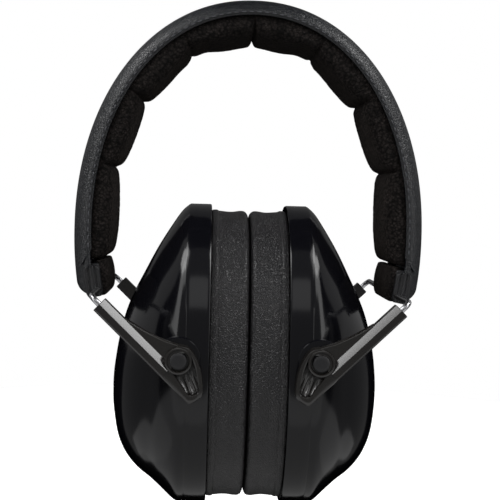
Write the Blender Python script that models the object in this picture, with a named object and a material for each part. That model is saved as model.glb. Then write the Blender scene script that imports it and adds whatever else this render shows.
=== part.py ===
"""Slim passive earmuff hearing protector, padded headband, sliding arms and two ear cups.

The origin is where the crown of the head meets the headband's pad, at the band's middle.
X runs from ear to ear, Y from front (negative) to rear, Z up. All sizes are in metres.
Everything on one side is modelled once, on the +X side, and reflected to make the other.
"""

import math

import bmesh
import bpy
from mathutils import Matrix, Vector

# Headband: an upright oval, measured on its outer face
BAND_HALF_WIDTH = 0.0555
BAND_HALF_HEIGHT = 0.074
BAND_CENTRE_Z = -0.0612
BAND_SQUARENESS = 2.1
BAND_HALF_DEPTH = 0.016
LIP_DEPTH = 0.0052
COVER_WALL = 0.0013
HINGE_ANGLE = 26.0
COVER_END_ANGLE = 105.5
HINGE_STANDOFF = 0.0003

# Pads under the band: the angles at which the quilting seams cross it
CROWN_SEAMS = (0.0, HINGE_ANGLE)
LEG_SEAMS = (HINGE_ANGLE, 50.8, 73.1, 96.7)
PAD_TOP = 0.0036
PAD_VALLEY = 0.0086
PAD_FULL = 0.0124
PAD_STATIONS = 7
SEAM_GAP = 0.45

# Spring strip in the band, under the cover
STRIP_TOP = 0.0023
STRIP_THICKNESS = 0.0009
STRIP_HALF_DEPTH = 0.010
STRIP_END_ANGLE = 103.0

# Moulded clip that closes each end of the band and carries the wire
CLIP_ANGLES = (97.4, 106.0)
CLIP_TOP = 0.0037
CLIP_BOTTOM = 0.0087
CHEEK_TOP = 0.0056
CHEEK_BOTTOM = 0.0098
CHEEK_FACE = 0.0164
END_PAD_BOTTOM = 0.0118

# Arms: plane of the plates, the tip of the rail and the pivot on the cup
ARM_INNER = 0.0375
ARM_OUTER = 0.0420
PLATE_OUTER = 0.0405
ARM_SLOPE = 44.0
ARM_TIP = (0.0448, -0.08185)
RAIL_HALF_WIDTH = 0.00225
RAIL_LENGTH = 0.0290
RAIL_FACET = (0.0003, 0.0016)
PIVOT_ALONG = 0.0282
PIVOT_ACROSS = 0.0048
BOSS_RADIUS = 0.0041

# Wire bail: one bent rod per side, from arm to arm through the band's end. The arms slide
# down its legs by the height travel, and the beads on its ends stop them at their bores' mouths
HEIGHT_TRAVEL = 0.018
WIRE_RADIUS = 0.0009
WIRE_PLANE = 0.0396
WIRE_BEND = 0.0025
WIRE_LEAD = 0.0034
WIRE_ENGAGED = 0.0034
BEAD_RADIUS = 0.0012
BEAD_LENGTH = 0.0020
BORE_RADIUS = 0.0015
BORE_MOUTH_RADIUS = 0.0012
BORE_MOUTH = 0.0020
BORE_END_ROOM = 0.0008
WIRE_LEG = WIRE_LEAD + BORE_MOUTH + HEIGHT_TRAVEL + WIRE_ENGAGED
BORE_LENGTH = WIRE_LEG - WIRE_LEAD + BEAD_LENGTH + BORE_END_ROOM

# Pivot pins: a flush round head, a shaft through arm and shell, and a push-on clip
PIN_HEAD_RADIUS = 0.0027
PIN_HEAD_THICKNESS = 0.0014
PIN_SHAFT_RADIUS = 0.0019
PIN_CLEARANCE = 0.0003
PIN_INNER_END = 0.0286
CLIP_RING_RADIUS = 0.0042
CLIP_RING_THICKNESS = 0.0012
SHELL_BOSS_RADIUS = 0.0066
SHELL_BOSS_FACE = 0.0372

# Ear cup shell: distance from the middle, top, bottom and half width of each oval
CUP_WALL = 0.0022
CUP_SQUARENESS = 2.25
CUP_SIDES = 36
CUP_OVALS = (
    (0.0123, -0.0519, -0.1502, 0.0368),
    (0.0192, -0.0519, -0.1502, 0.0368),
    (0.0222, -0.0548, -0.1498, 0.0361),
    (0.0272, -0.0625, -0.1452, 0.0334),
    (0.0303, -0.0679, -0.1425, 0.0309),
    (0.0338, -0.0748, -0.1399, 0.0278),
    (0.0367, -0.0806, -0.1370, 0.0246),
    (0.0392, -0.0868, -0.1334, 0.0209),
    (0.0412, -0.0944, -0.1286, 0.0162),
    (0.0426, -0.1030, -0.1215, 0.0100),
    (0.0430, -0.1070, -0.1178, 0.0062),
)

# Soft seal between the cup and the head
CUSHION_FACE = 0.00085
CUSHION_BACK = 0.0106
CUSHION_INSET = 0.0008
CUSHION_RING = 0.0165
SEAL_PLATE = (0.0109, 0.0120)
SEAL_PLATE_RING = 0.0145
FOAM_FRONT = 0.0160
FOAM_GAP = 0.0040
FOAM_SIDE_GAP = 0.0095

ROUND_SIDES = 16

FRONT_REAR = (("front", 1), ("rear", -1))
SIDES = (("right", 1), ("left", -1))


def clear_scene():
    for old in list(bpy.data.objects):
        bpy.data.objects.remove(old, do_unlink=True)


def surface(name, colour, roughness, metallic=0.0):
    """A plain finish: base colour, roughness and metallic value."""
    made = bpy.data.materials.new(name)
    made.use_nodes = True
    shader = made.node_tree.nodes["Principled BSDF"]
    shader.inputs["Base Color"].default_value = (*colour, 1.0)
    shader.inputs["Roughness"].default_value = roughness
    shader.inputs["Metallic"].default_value = metallic
    return made


def joint_empty(name, place, parent=None):
    """An empty on a joint's axis, which carries the pieces that move about it."""
    empty = bpy.data.objects.new(name, None)
    empty.empty_display_size = 0.005
    bpy.context.collection.objects.link(empty)
    empty.parent = parent
    here = world_place(parent) if parent else Vector()
    empty.location = Vector(place) - here
    return empty


def world_place(empty):
    place = Vector(empty.location)
    while empty.parent:
        empty = empty.parent
        place += empty.location
    return place


def add_piece(name, mesh, finish, body=None, across=1, along=1):
    """Adds a piece from a mesh in world coordinates, reflected in X or Y where a sign is -1.

    It is cut into triangles first, so that a piece and its reflection have the same ones.
    """
    shape = bmesh.new()
    shape.from_mesh(mesh)
    bmesh.ops.triangulate(shape, faces=shape.faces)
    bmesh.ops.transform(shape, matrix=Matrix.Diagonal((across, along, 1, 1)), verts=shape.verts)
    bmesh.ops.recalc_face_normals(shape, faces=shape.faces)
    if body:
        bmesh.ops.translate(shape, vec=-world_place(body), verts=shape.verts)
    data = bpy.data.meshes.new(name)
    shape.to_mesh(data)
    shape.free()
    data.shade_smooth()
    data.set_sharp_from_angle(angle=math.radians(32))
    data.materials.clear()
    data.materials.append(finish)
    piece = bpy.data.objects.new(name, data)
    bpy.context.collection.objects.link(piece)
    piece.parent = body
    return piece


def mesh_from(shape, name="shape"):
    bmesh.ops.recalc_face_normals(shape, faces=shape.faces)
    data = bpy.data.meshes.new(name)
    shape.to_mesh(data)
    shape.free()
    return data


def loft(rings, closed=False):
    """A skin through rings of points, with flat ends, or joined end to end where closed."""
    shape = bmesh.new()
    rows = [[shape.verts.new(point) for point in ring] for ring in rings]
    pairs = list(zip(rows, rows[1:]))
    if closed:
        pairs.append((rows[-1], rows[0]))
    for near, far in pairs:
        for i in range(len(near)):
            j = (i + 1) % len(near)
            shape.faces.new((near[i], near[j], far[j], far[i]))
    if not closed:
        shape.faces.new(rows[0])
        shape.faces.new(rows[-1])
    return mesh_from(shape)


def prism(outline, low, high):
    """An outline in the XZ plane, extruded along Y."""
    return loft([[Vector((x, y, z)) for x, z in outline] for y in (low, high)])


def turned(profile, origin, axis, sides=ROUND_SIDES):
    """A solid of revolution: (distance along the axis, radius) from one end to the other."""
    axis = Vector(axis).normalized()
    side = axis.orthogonal().normalized()
    other = axis.cross(side)
    rings = []
    for along, radius in profile:
        centre = Vector(origin) + axis * along
        turns = [2 * math.pi * i / sides for i in range(sides)]
        rings.append([centre + radius * (side * math.cos(a) + other * math.sin(a)) for a in turns])
    return loft(rings)


def combined(base, tool, operation):
    """The exact boolean of two meshes."""
    pieces = []
    for mesh in (base, tool):
        piece = bpy.data.objects.new("tool", mesh)
        bpy.context.collection.objects.link(piece)
        pieces.append(piece)
    cut = pieces[0].modifiers.new("cut", "BOOLEAN")
    cut.operation = operation
    cut.solver = "EXACT"
    cut.object = pieces[1]
    graph = bpy.context.evaluated_depsgraph_get()
    result = bpy.data.meshes.new_from_object(pieces[0].evaluated_get(graph))
    for piece in pieces:
        bpy.data.objects.remove(piece, do_unlink=True)
    return result


def joined(first, *others):
    for other in others:
        first = combined(first, other, "UNION")
    return first


def cut(first, *tools):
    for tool in tools:
        first = combined(first, tool, "DIFFERENCE")
    return first


# ---------------------------------------------------------------- headband

def band_face(angle):
    """A point on the band's outer face: 0 degrees at the crown, 90 at the widest place."""
    power = 2 / BAND_SQUARENESS
    sine, cosine = math.sin(math.radians(angle)), math.cos(math.radians(angle))
    x = BAND_HALF_WIDTH * math.copysign(abs(sine) ** power, sine)
    z = BAND_CENTRE_Z + BAND_HALF_HEIGHT * math.copysign(abs(cosine) ** power, cosine)
    return Vector((x, 0.0, z))


def band_inward(angle):
    """The direction from the band's outer face towards the head."""
    run = band_face(angle + 1.5) - band_face(angle - 1.5)
    return Vector((run.z, 0.0, -run.x)).normalized()


def band_point(angle, depth, y):
    return band_face(angle) + band_inward(angle) * depth + Vector((0.0, y, 0.0))


def steps(low, high, count):
    return [low + (high - low) * i / (count - 1) for i in range(count)]


def band_loft(section, angles):
    """A constant section of (depth, y) points, carried along the band."""
    return loft([[band_point(angle, depth, y) for depth, y in section] for angle in angles])


def cover_section():
    """A channel with rounded shoulders, open towards the head."""
    face, wall = BAND_HALF_DEPTH, COVER_WALL
    shoulder = [(LIP_DEPTH, face), (0.0028, face), (0.0011, face - 0.0009), (0.0, face - 0.0034)]
    hollow = [(LIP_DEPTH, face - wall), (0.0020, face - wall - 0.0002)]
    outer = shoulder + [(depth, -y) for depth, y in reversed(shoulder)]
    inner = [(depth, -y) for depth, y in hollow] + list(reversed(hollow))
    return outer + inner


def strip_section():
    low, high = STRIP_TOP, STRIP_TOP + STRIP_THICKNESS
    return [(low, STRIP_HALF_DEPTH), (low, -STRIP_HALF_DEPTH),
            (high, -STRIP_HALF_DEPTH), (high, STRIP_HALF_DEPTH)]


def pad_section(bottom):
    """Half in the cover's channel and half under its lip, with a rounded bottom."""
    half = [(PAD_TOP, 0.0141), (LIP_DEPTH + 0.0004, 0.0141), (LIP_DEPTH + 0.0008, 0.0156),
            (bottom - 0.0022, 0.0156), (bottom - 0.0006, 0.0143), (bottom, 0.0112)]
    return half + [(depth, -y) for depth, y in reversed(half)]


def pad_depth(angle, low, high):
    """How deep a pad lobe is between its seams. The crown's lobes are flat where the head is."""
    share = (angle - low) / (high - low)
    swell = math.sin(math.pi * share) ** 0.55
    depth = PAD_VALLEY + (PAD_FULL - PAD_VALLEY) * swell
    if high <= HINGE_ANGLE:
        depth = min(depth, band_face(angle).z / -band_inward(angle).z)
    return max(depth, PAD_VALLEY)


def pad_lobe(low, high):
    rings = []
    for angle in steps(low + SEAM_GAP, high - SEAM_GAP, PAD_STATIONS):
        section = pad_section(pad_depth(angle, low, high))
        rings.append([band_point(angle, depth, y) for depth, y in section])
    return loft(rings)


def hinge_place():
    """The crown hinge lies just outside the band, so that the band can only open."""
    return band_point(HINGE_ANGLE, -HINGE_STANDOFF, 0.0)


def end_clip():
    core = [(CLIP_TOP, 0.0143), (CLIP_TOP, -0.0143), (CLIP_BOTTOM, -0.0143), (CLIP_BOTTOM, 0.0143)]
    cheeks = [(CHEEK_TOP, CHEEK_FACE), (CHEEK_TOP, -CHEEK_FACE),
              (CHEEK_BOTTOM - 0.0014, -CHEEK_FACE), (CHEEK_BOTTOM, -CHEEK_FACE + 0.0015),
              (CHEEK_BOTTOM, CHEEK_FACE - 0.0015), (CHEEK_BOTTOM - 0.0014, CHEEK_FACE)]
    block = joined(band_loft(core, steps(*CLIP_ANGLES, 3)), band_loft(cheeks, steps(98.6, 105.4, 3)))
    place = wire_corner()
    bore = turned([(-0.02, WIRE_RADIUS + PIN_CLEARANCE), (0.02, WIRE_RADIUS + PIN_CLEARANCE)],
                  (place.x, 0.0, place.z), (0, 1, 0))
    return cut(block, bore)


def end_pad():
    top = CHEEK_BOTTOM + 0.0004
    section = [(top, 0.0152), (END_PAD_BOTTOM - 0.0004, 0.0152), (END_PAD_BOTTOM, 0.0130)]
    section += [(depth, -y) for depth, y in reversed(section)]
    return band_loft(section, steps(LEG_SEAMS[-1] + SEAM_GAP, CLIP_ANGLES[1], 4))


# ---------------------------------------------------------------- arms and wire

def arm_direction():
    slope = math.radians(ARM_SLOPE)
    return Vector((-math.cos(slope), 0.0, -math.sin(slope)))


def arm_point(along, across, y=0.0):
    """A point in the arm's plane: along the rail from its tip, and across it towards the cup."""
    run = arm_direction()
    rise = Vector((run.z, 0.0, -run.x))
    tip = Vector((ARM_TIP[0], 0.0, ARM_TIP[1]))
    return tip + run * along + rise * across + Vector((0.0, y, 0.0))


def wire_corner():
    return arm_point(-WIRE_LEAD, 0.0)


def pivot_place():
    return arm_point(PIVOT_ALONG, PIVOT_ACROSS)


def arm_outline():
    """Web, boss and thumb paddle in one outline, as (along, across) points in millimetres."""
    web = [(7.5, 1.4), (12.0, 3.2), (18.0, 5.2), (23.4, 7.6)]
    paddle = [(25.6, 9.1), (28.9, 9.7), (33.2, 8.4), (37.2, 5.9), (40.2, 3.0), (40.3, 0.6)]
    heel = [(39.7, -2.25), (7.5, -2.25)]
    return [(a / 1000, b / 1000) for a, b in web + paddle + heel]


def arm():
    """The front arm of the right side."""
    outline = [arm_point(a, b) for a, b in arm_outline()]
    plate = prism([(p.x, p.z) for p in outline], -PLATE_OUTER, -ARM_INNER)
    half = RAIL_HALF_WIDTH
    start, drop = RAIL_FACET
    section = [(-half, -ARM_INNER), (-half, -ARM_OUTER + 0.0004), (-half + 0.0005, -ARM_OUTER),
               (start, -ARM_OUTER), (half, -ARM_OUTER + drop), (half, -ARM_INNER)]
    rail = loft([[arm_point(a, b, y) for b, y in section] for a in (0.0, RAIL_LENGTH)])
    place = pivot_place()
    boss = turned([(-ARM_OUTER, BOSS_RADIUS), (-ARM_INNER, BOSS_RADIUS)], place, (0, 1, 0), 24)
    lip = [arm_point(a, b) for a, b in arm_outline()[5:-1]]
    inner = [arm_point(a - 0.0015, b - 0.0015 if b > 0 else b + 0.0015) for a, b in arm_outline()[5:-1]]
    rim = prism([(p.x, p.z) for p in lip + inner[::-1]], -ARM_OUTER + 0.0006, -PLATE_OUTER + 0.0004)
    body = joined(plate, rail, boss, rim)
    bore = turned(
        [(-0.001, BORE_MOUTH_RADIUS), (BORE_MOUTH, BORE_MOUTH_RADIUS),
         (BORE_MOUTH + 0.0004, BORE_RADIUS), (BORE_LENGTH, BORE_RADIUS)],
        arm_point(0.0, 0.0, -WIRE_PLANE), arm_direction(), 12)
    seat = PIN_HEAD_RADIUS + PIN_CLEARANCE
    shank = PIN_SHAFT_RADIUS + PIN_CLEARANCE
    depth = ARM_OUTER - PIN_HEAD_THICKNESS - PIN_CLEARANCE
    eye = turned([(-0.045, seat), (-depth, seat), (-depth, shank), (-0.035, shank)], place, (0, 1, 0))
    return cut(body, bore, eye)


def wire_path(across):
    """From the front leg's end, over the bend, along the band's end and down the rear leg."""
    run = arm_direction()
    corner = wire_corner()
    front = []
    bend = [math.radians(15 * i) for i in range(7)]
    centre = corner + run * WIRE_BEND + Vector((0.0, WIRE_BEND - WIRE_PLANE, 0.0))
    front.append(corner + run * WIRE_LEG + Vector((0.0, -WIRE_PLANE, 0.0)))
    for turn in bend:
        aside = Vector((0.0, -WIRE_BEND * math.cos(turn), 0.0))
        front.append(centre + aside - run * WIRE_BEND * math.sin(turn))
    rear = [Vector((p.x, -p.y, p.z)) for p in reversed(front)]
    return [Vector((across * p.x, p.y, p.z)) for p in front + rear]


def add_wire(name, across, finish, body):
    """The bail is a curve with a round bevel and filled ends."""
    data = bpy.data.curves.new(name, "CURVE")
    data.dimensions = "3D"
    data.bevel_depth = WIRE_RADIUS
    data.bevel_resolution = 2
    data.use_fill_caps = True
    route = wire_path(across)
    spline = data.splines.new("POLY")
    spline.points.add(len(route) - 1)
    base = world_place(body)
    for point, place in zip(spline.points, route):
        point.co = (*(place - base), 1.0)
    data.materials.append(finish)
    piece = bpy.data.objects.new(name, data)
    bpy.context.collection.objects.link(piece)
    piece.parent = body


def bead():
    """The formed end that keeps the wire's leg in the arm."""
    start = WIRE_LEG - WIRE_LEAD + PIN_CLEARANCE
    return turned([(start, BEAD_RADIUS), (start + BEAD_LENGTH, BEAD_RADIUS)],
                  arm_point(0.0, 0.0, -WIRE_PLANE), arm_direction(), 10)


def pivot_pin():
    head = ARM_OUTER - 0.0001
    step = head - PIN_HEAD_THICKNESS
    profile = [(-head, PIN_HEAD_RADIUS - 0.0003), (-head + 0.0003, PIN_HEAD_RADIUS),
               (-step, PIN_HEAD_RADIUS), (-step, PIN_SHAFT_RADIUS), (-PIN_INNER_END, PIN_SHAFT_RADIUS)]
    return turned(profile, pivot_place(), (0, 1, 0))


def pin_clip():
    """A push-on ring on the pin's inner end, inside the cup."""
    outer = PIN_INNER_END + CLIP_RING_THICKNESS + 0.0002
    hole = PIN_SHAFT_RADIUS + PIN_CLEARANCE
    disc = turned([(-outer, CLIP_RING_RADIUS), (-outer + CLIP_RING_THICKNESS, CLIP_RING_RADIUS)],
                  pivot_place(), (0, 1, 0))
    return cut(disc, turned([(-outer - 0.001, hole), (-outer + 0.003, hole)], pivot_place(), (0, 1, 0)))


# ---------------------------------------------------------------- ear cups

def oval(x, top, bottom, half_width, sides=CUP_SIDES):
    """An upright oval at a distance x from the middle, a little squarer than an ellipse."""
    power = 2 / CUP_SQUARENESS
    middle, half = (top + bottom) / 2, (top - bottom) / 2
    ring = []
    for i in range(sides):
        turn = 2 * math.pi * (i + 0.5) / sides
        sine, cosine = math.sin(turn), math.cos(turn)
        y = half_width * math.copysign(abs(cosine) ** power, cosine)
        z = middle + half * math.copysign(abs(sine) ** power, sine)
        ring.append(Vector((x, y, z)))
    return ring


def inset_oval(station, amount, x=None, sides=CUP_SIDES):
    place, top, bottom, half_width = station
    return oval(place if x is None else x, top - amount, bottom + amount, half_width - amount, sides)


def cup_shell():
    outer = [oval(*station) for station in CUP_OVALS]
    inner = [inset_oval(CUP_OVALS[0], CUP_WALL)]
    for station in CUP_OVALS[1:-3]:
        inner.append(inset_oval(station, CUP_WALL * 0.9, station[0] - CUP_WALL * 0.75))
    shell = loft(inner[::-1] + outer)
    place = pivot_place()
    bosses = [turned([(low, SHELL_BOSS_RADIUS), (high, SHELL_BOSS_RADIUS)], place, (0, 1, 0))
              for low, high in ((-SHELL_BOSS_FACE, -0.0330), (0.0330, SHELL_BOSS_FACE))]
    hole = PIN_SHAFT_RADIUS + PIN_CLEARANCE
    bores = [turned([(low, hole), (high, hole)], place, (0, 1, 0))
             for low, high in ((-0.045, -0.028), (0.028, 0.045))]
    return cut(joined(shell, *bosses), *bores)


def around_cup(section, sides=CUP_SIDES):
    """A closed section of (x, inset from the rim's outline) points, carried round the cup's oval."""
    loops = [inset_oval(CUP_OVALS[0], inset, x, sides) for x, inset in section]
    return loft([list(ring) for ring in zip(*loops)], closed=True)


def ear_cushion():
    near, far = CUSHION_FACE, CUSHION_BACK
    edge, hole = CUSHION_INSET, CUSHION_INSET + CUSHION_RING
    section = [(far, edge + 0.0012), (far - 0.0012, edge), (near + 0.0028, edge),
               (near + 0.0008, edge + 0.0012), (near, edge + 0.0038), (near, hole - 0.0040),
               (near + 0.0012, hole - 0.0012), (near + 0.0040, hole), (far - 0.0012, hole),
               (far, hole - 0.0012)]
    return around_cup(section, 30)


def seal_plate():
    low, high = SEAL_PLATE
    return around_cup([(low, 0.0004), (high, 0.0004), (high, SEAL_PLATE_RING), (low, SEAL_PLATE_RING)], 30)


def foam_insert():
    """A block that fills the cup behind the ear and keeps clear of the pins."""
    rings = []
    for index, x in ((1, FOAM_FRONT), (3, 0.0240), (5, 0.0310), (7, 0.0366)):
        place, top, bottom, half_width = CUP_OVALS[index]
        rings.append(oval(x, top - FOAM_GAP, bottom + FOAM_GAP, half_width - FOAM_SIDE_GAP, 20))
    return loft(rings)


def build():
    clear_scene()
    leatherette = surface("leatherette", (0.012, 0.013, 0.016), 0.32)
    plush = surface("plush fabric", (0.013, 0.011, 0.010), 0.95)
    shell_plastic = surface("gloss shell plastic", (0.012, 0.012, 0.015), 0.12)
    arm_plastic = surface("smoke arm plastic", (0.030, 0.030, 0.031), 0.25)
    clip_plastic = surface("clip plastic", (0.018, 0.018, 0.019), 0.45)
    steel = surface("polished steel", (0.62, 0.62, 0.63), 0.18, 1.0)
    foam = surface("open cell foam", (0.025, 0.025, 0.027), 0.95)

    crown_angles = steps(-HINGE_ANGLE + 0.2, HINGE_ANGLE - 0.2, 9)
    add_piece("headband_cover_crown", band_loft(cover_section(), crown_angles), leatherette)
    add_piece("spring_strip_crown", band_loft(strip_section(), crown_angles), steel)

    leg_angles = steps(HINGE_ANGLE + 0.2, COVER_END_ANGLE, 13)
    strip_angles = steps(HINGE_ANGLE + 0.2, STRIP_END_ANGLE, 12)
    leg_meshes = {
        "headband_cover": (band_loft(cover_section(), leg_angles), leatherette),
        "spring_strip": (band_loft(strip_section(), strip_angles), steel),
        "end_clip": (end_clip(), clip_plastic),
        "pad_end": (end_pad(), plush),
    }
    for number, seams in enumerate(zip(LEG_SEAMS, LEG_SEAMS[1:]), 1):
        leg_meshes[f"pad_lobe_{number}"] = (pad_lobe(*seams), plush)
    crown_lobe = pad_lobe(*CROWN_SEAMS)
    arm_mesh, bead_mesh = arm(), bead()
    pin_mesh, pin_clip_mesh = pivot_pin(), pin_clip()
    cup_meshes = {
        "cup_shell": (cup_shell(), shell_plastic),
        "seal_plate": (seal_plate(), clip_plastic),
        "ear_cushion": (ear_cushion(), leatherette),
        "foam_insert": (foam_insert(), foam),
    }

    hinge, corner, pivot = hinge_place(), wire_corner(), pivot_place()
    for side, across in SIDES:
        leg = joint_empty(f"leg_{side}", (across * hinge.x, 0.0, hinge.z))
        bail = joint_empty(f"bail_{side}", (across * corner.x, 0.0, corner.z), leg)
        arms = joint_empty(f"arms_{side}", (across * corner.x, 0.0, corner.z), bail)
        cup = joint_empty(f"cup_{side}", (across * pivot.x, 0.0, pivot.z), arms)
        add_piece(f"pad_crown_{side}", crown_lobe, plush, None, across)
        for name, (mesh, finish) in leg_meshes.items():
            add_piece(f"{name}_{side}", mesh, finish, leg, across)
        add_wire(f"wire_bail_{side}", across, steel, bail)
        for name, (mesh, finish) in cup_meshes.items():
            add_piece(f"{name}_{side}", mesh, finish, cup, across)
        for end, along in FRONT_REAR:
            add_piece(f"wire_bead_{end}_{side}", bead_mesh, steel, bail, across, along)
            add_piece(f"arm_{end}_{side}", arm_mesh, arm_plastic, arms, across, along)
            add_piece(f"pivot_pin_{end}_{side}", pin_mesh, clip_plastic, cup, across, along)
            add_piece(f"pin_clip_{end}_{side}", pin_clip_mesh, steel, cup, across, along)


build()
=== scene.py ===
"""The looks of a slim earmuff hearing protector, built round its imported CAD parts.

X runs from ear to ear, Y from front (negative) to rear, Z up, all in metres. Pieces that come
in pairs are modelled once, for the right side and the front, and reflected.
"""

import bisect
import math

import bmesh
import bpy
from bpy.props import FloatProperty, FloatVectorProperty, PointerProperty
from mathutils import Matrix, Vector, noise


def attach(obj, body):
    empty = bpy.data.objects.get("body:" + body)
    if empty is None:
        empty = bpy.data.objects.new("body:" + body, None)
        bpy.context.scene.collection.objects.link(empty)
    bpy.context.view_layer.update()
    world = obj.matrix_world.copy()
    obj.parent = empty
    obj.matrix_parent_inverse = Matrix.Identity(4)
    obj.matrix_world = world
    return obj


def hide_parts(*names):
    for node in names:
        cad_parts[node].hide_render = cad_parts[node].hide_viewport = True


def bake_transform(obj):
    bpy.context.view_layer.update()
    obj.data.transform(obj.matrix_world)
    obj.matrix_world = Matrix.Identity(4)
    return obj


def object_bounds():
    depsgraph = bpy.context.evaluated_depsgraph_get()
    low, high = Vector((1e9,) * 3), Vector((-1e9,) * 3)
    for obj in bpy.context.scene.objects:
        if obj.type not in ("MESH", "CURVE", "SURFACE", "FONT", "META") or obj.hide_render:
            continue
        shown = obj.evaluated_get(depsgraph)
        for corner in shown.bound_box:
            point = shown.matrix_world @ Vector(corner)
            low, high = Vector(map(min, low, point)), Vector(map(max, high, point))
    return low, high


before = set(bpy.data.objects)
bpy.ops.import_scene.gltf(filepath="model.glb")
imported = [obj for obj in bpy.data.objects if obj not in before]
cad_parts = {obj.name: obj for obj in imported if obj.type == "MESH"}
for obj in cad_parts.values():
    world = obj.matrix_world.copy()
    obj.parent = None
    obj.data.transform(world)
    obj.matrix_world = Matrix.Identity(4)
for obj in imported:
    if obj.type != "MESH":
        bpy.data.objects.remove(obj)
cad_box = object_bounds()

bl_info = {
    "name": "Earmuff hearing protector",
    "version": (1, 0, 0),
    "blender": (4, 5, 0),
    "location": "3D View > Sidebar > Earmuff",
    "description": "Dresses a slim earmuff's packed parts in fabric, leatherette, plastic and steel",
    "category": "Object",
}

# The headband's outer face is an upright oval; angles run from 0 at the crown to 90 at its widest
BAND_HALF_WIDTH = 0.0555
BAND_HALF_HEIGHT = 0.074
BAND_CENTRE_Z = -0.0612
BAND_SQUARENESS = 2.1
HINGE_ANGLE = 26.0
PAD_SEAMS = (0.0, HINGE_ANGLE, 50.8, 73.1, 96.7)
BAND_END = 106.0

# The arms lie in a plane of their own: along the rail from its tip, and across it
ARM_SLOPE = math.radians(44.0)
ARM_TIP = Vector((0.0448, 0.0, -0.08185))
ARM_INNER = 0.0375
PIVOT = (0.0282, 0.0048)
WIRE_LEAD = 0.0034
WIRE_LEG = 0.0268
WIRE_PLANE = 0.0396
WIRE_BEND = 0.0025

# Ear cup: distance from the middle, top, bottom and half width of each oval
CUP_SQUARENESS = 2.25
CUP_OVALS = (
    (0.0192, -0.0519, -0.1502, 0.0368), (0.0222, -0.0548, -0.1498, 0.0361),
    (0.0272, -0.0625, -0.1452, 0.0334), (0.0303, -0.0679, -0.1425, 0.0309),
    (0.0338, -0.0748, -0.1399, 0.0278), (0.0367, -0.0806, -0.1370, 0.0246),
    (0.0392, -0.0868, -0.1334, 0.0209), (0.0412, -0.0944, -0.1286, 0.0162),
    (0.0426, -0.1030, -0.1215, 0.0100), (0.0430, -0.1070, -0.1178, 0.0062),
    (0.0431, -0.1123, -0.1125, 0.0001),
)
CUP_RIM = (0.0121, 0.0192)

SIDES = (("right", 1), ("left", -1))
ENDS = (("front", 1), ("rear", -1))


def linear(code):
    """An sRGB hex colour as the linear values that Blender works in."""
    values = [int(code[i:i + 2], 16) / 255 for i in (1, 3, 5)]
    return tuple(v / 12.92 if v <= 0.04045 else ((v + 0.055) / 1.055) ** 2.4 for v in values)


def length_property(name, description, default):
    return FloatProperty(name=name, description=description, default=default, min=0.0,
                         unit="LENGTH", precision=5)


def colour_property(name, description, code):
    return FloatVectorProperty(name=name, description=description, default=linear(code),
                               subtype="COLOR", size=3, min=0.0, max=1.0)


class EarmuffSizes(bpy.types.PropertyGroup):
    """Sizes that a user may want to change."""
    stitch_pitch: length_property("Stitch pitch", "From one stitch to the next", 0.0026)
    stitch_length: length_property("Stitch length", "Length of one visible stitch", 0.0017)
    thread: length_property("Thread", "Thickness of the sewing thread", 0.0004)
    pad_full: length_property("Pad depth", "Depth of a pad lobe below the band's face", 0.0122)
    cushion_inset: length_property("Cushion inset", "Step from the cup's rim to the cushion", 0.0019)
    wire: length_property("Wire radius", "Radius of the bent steel wire", 0.0009)
    # Real embossing and pile are 0.5 mm wide or less; they are drawn as coarse as it takes to show
    leather_grain: length_property("Leatherette grain", "Width of one pebble of the grain", 0.0008)
    pile: length_property("Pile", "Width of one tuft of the plush", 0.0009)


class EarmuffColours(bpy.types.PropertyGroup):
    """Colours of the finishes."""
    leatherette: colour_property("Leatherette", "Pigment of the band's leatherette", "#101216")
    cushion: colour_property("Cushion", "Pigment of the ear cushions", "#151416")
    plush: colour_property("Plush", "Dyed pile of the headband's pads", "#171413")
    shell: colour_property("Shell", "Moulded cup shells", "#0c0c10")
    arm: colour_property("Arm", "Smoke plastic of the arms", "#1a1816")
    clip: colour_property("Clip", "Nylon of clips, pins and seal plates", "#1d1d1f")
    steel: colour_property("Steel", "Bright wire and spring steel", "#c9c9cc")
    foam: colour_property("Foam", "Acoustic foam in the cups", "#232326")
    thread: colour_property("Thread", "Sewing thread", "#47484c")
    floor: colour_property("Floor", "Studio floor", "#f2f2f2")


# ---------------------------------------------------------------- places

def squared(turn, power):
    """The cosine and sine of a turn in radians, each to a power that makes a circle squarer."""
    return [math.copysign(abs(part) ** power, part) for part in (math.cos(turn), math.sin(turn))]


def band_face(angle):
    """A point on the band's outer face."""
    up, out = squared(math.radians(angle), 2 / BAND_SQUARENESS)
    return Vector((BAND_HALF_WIDTH * out, 0.0, BAND_CENTRE_Z + BAND_HALF_HEIGHT * up))


def band_inward(angle):
    """The direction from the band's outer face towards the head."""
    run = band_face(angle + 1.5) - band_face(angle - 1.5)
    return Vector((run.z, 0.0, -run.x)).normalized()


def band_point(angle, depth, y):
    return band_face(angle) + band_inward(angle) * depth + Vector((0.0, y, 0.0))


BAND_STEPS = 4


def measured_band():
    """Lengths along the band's outer face from the crown, at BAND_STEPS places to the degree."""
    lengths = [0.0]
    for i in range(1, int(BAND_STEPS * BAND_END) + 9):
        lengths.append(lengths[-1] + (band_face(i / BAND_STEPS) - band_face((i - 1) / BAND_STEPS)).length)
    return lengths


BAND_LENGTHS = measured_band()


def angle_at(length):
    """The band's angle at a length along its outer face."""
    i = min(max(bisect.bisect_right(BAND_LENGTHS, length) - 1, 0), len(BAND_LENGTHS) - 2)
    low, high = BAND_LENGTHS[i:i + 2]
    return (i + (length - low) / (high - low)) / BAND_STEPS


def length_at(angle):
    place = BAND_STEPS * angle
    i = int(place)
    return BAND_LENGTHS[i] + (BAND_LENGTHS[i + 1] - BAND_LENGTHS[i]) * (place - i)


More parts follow.
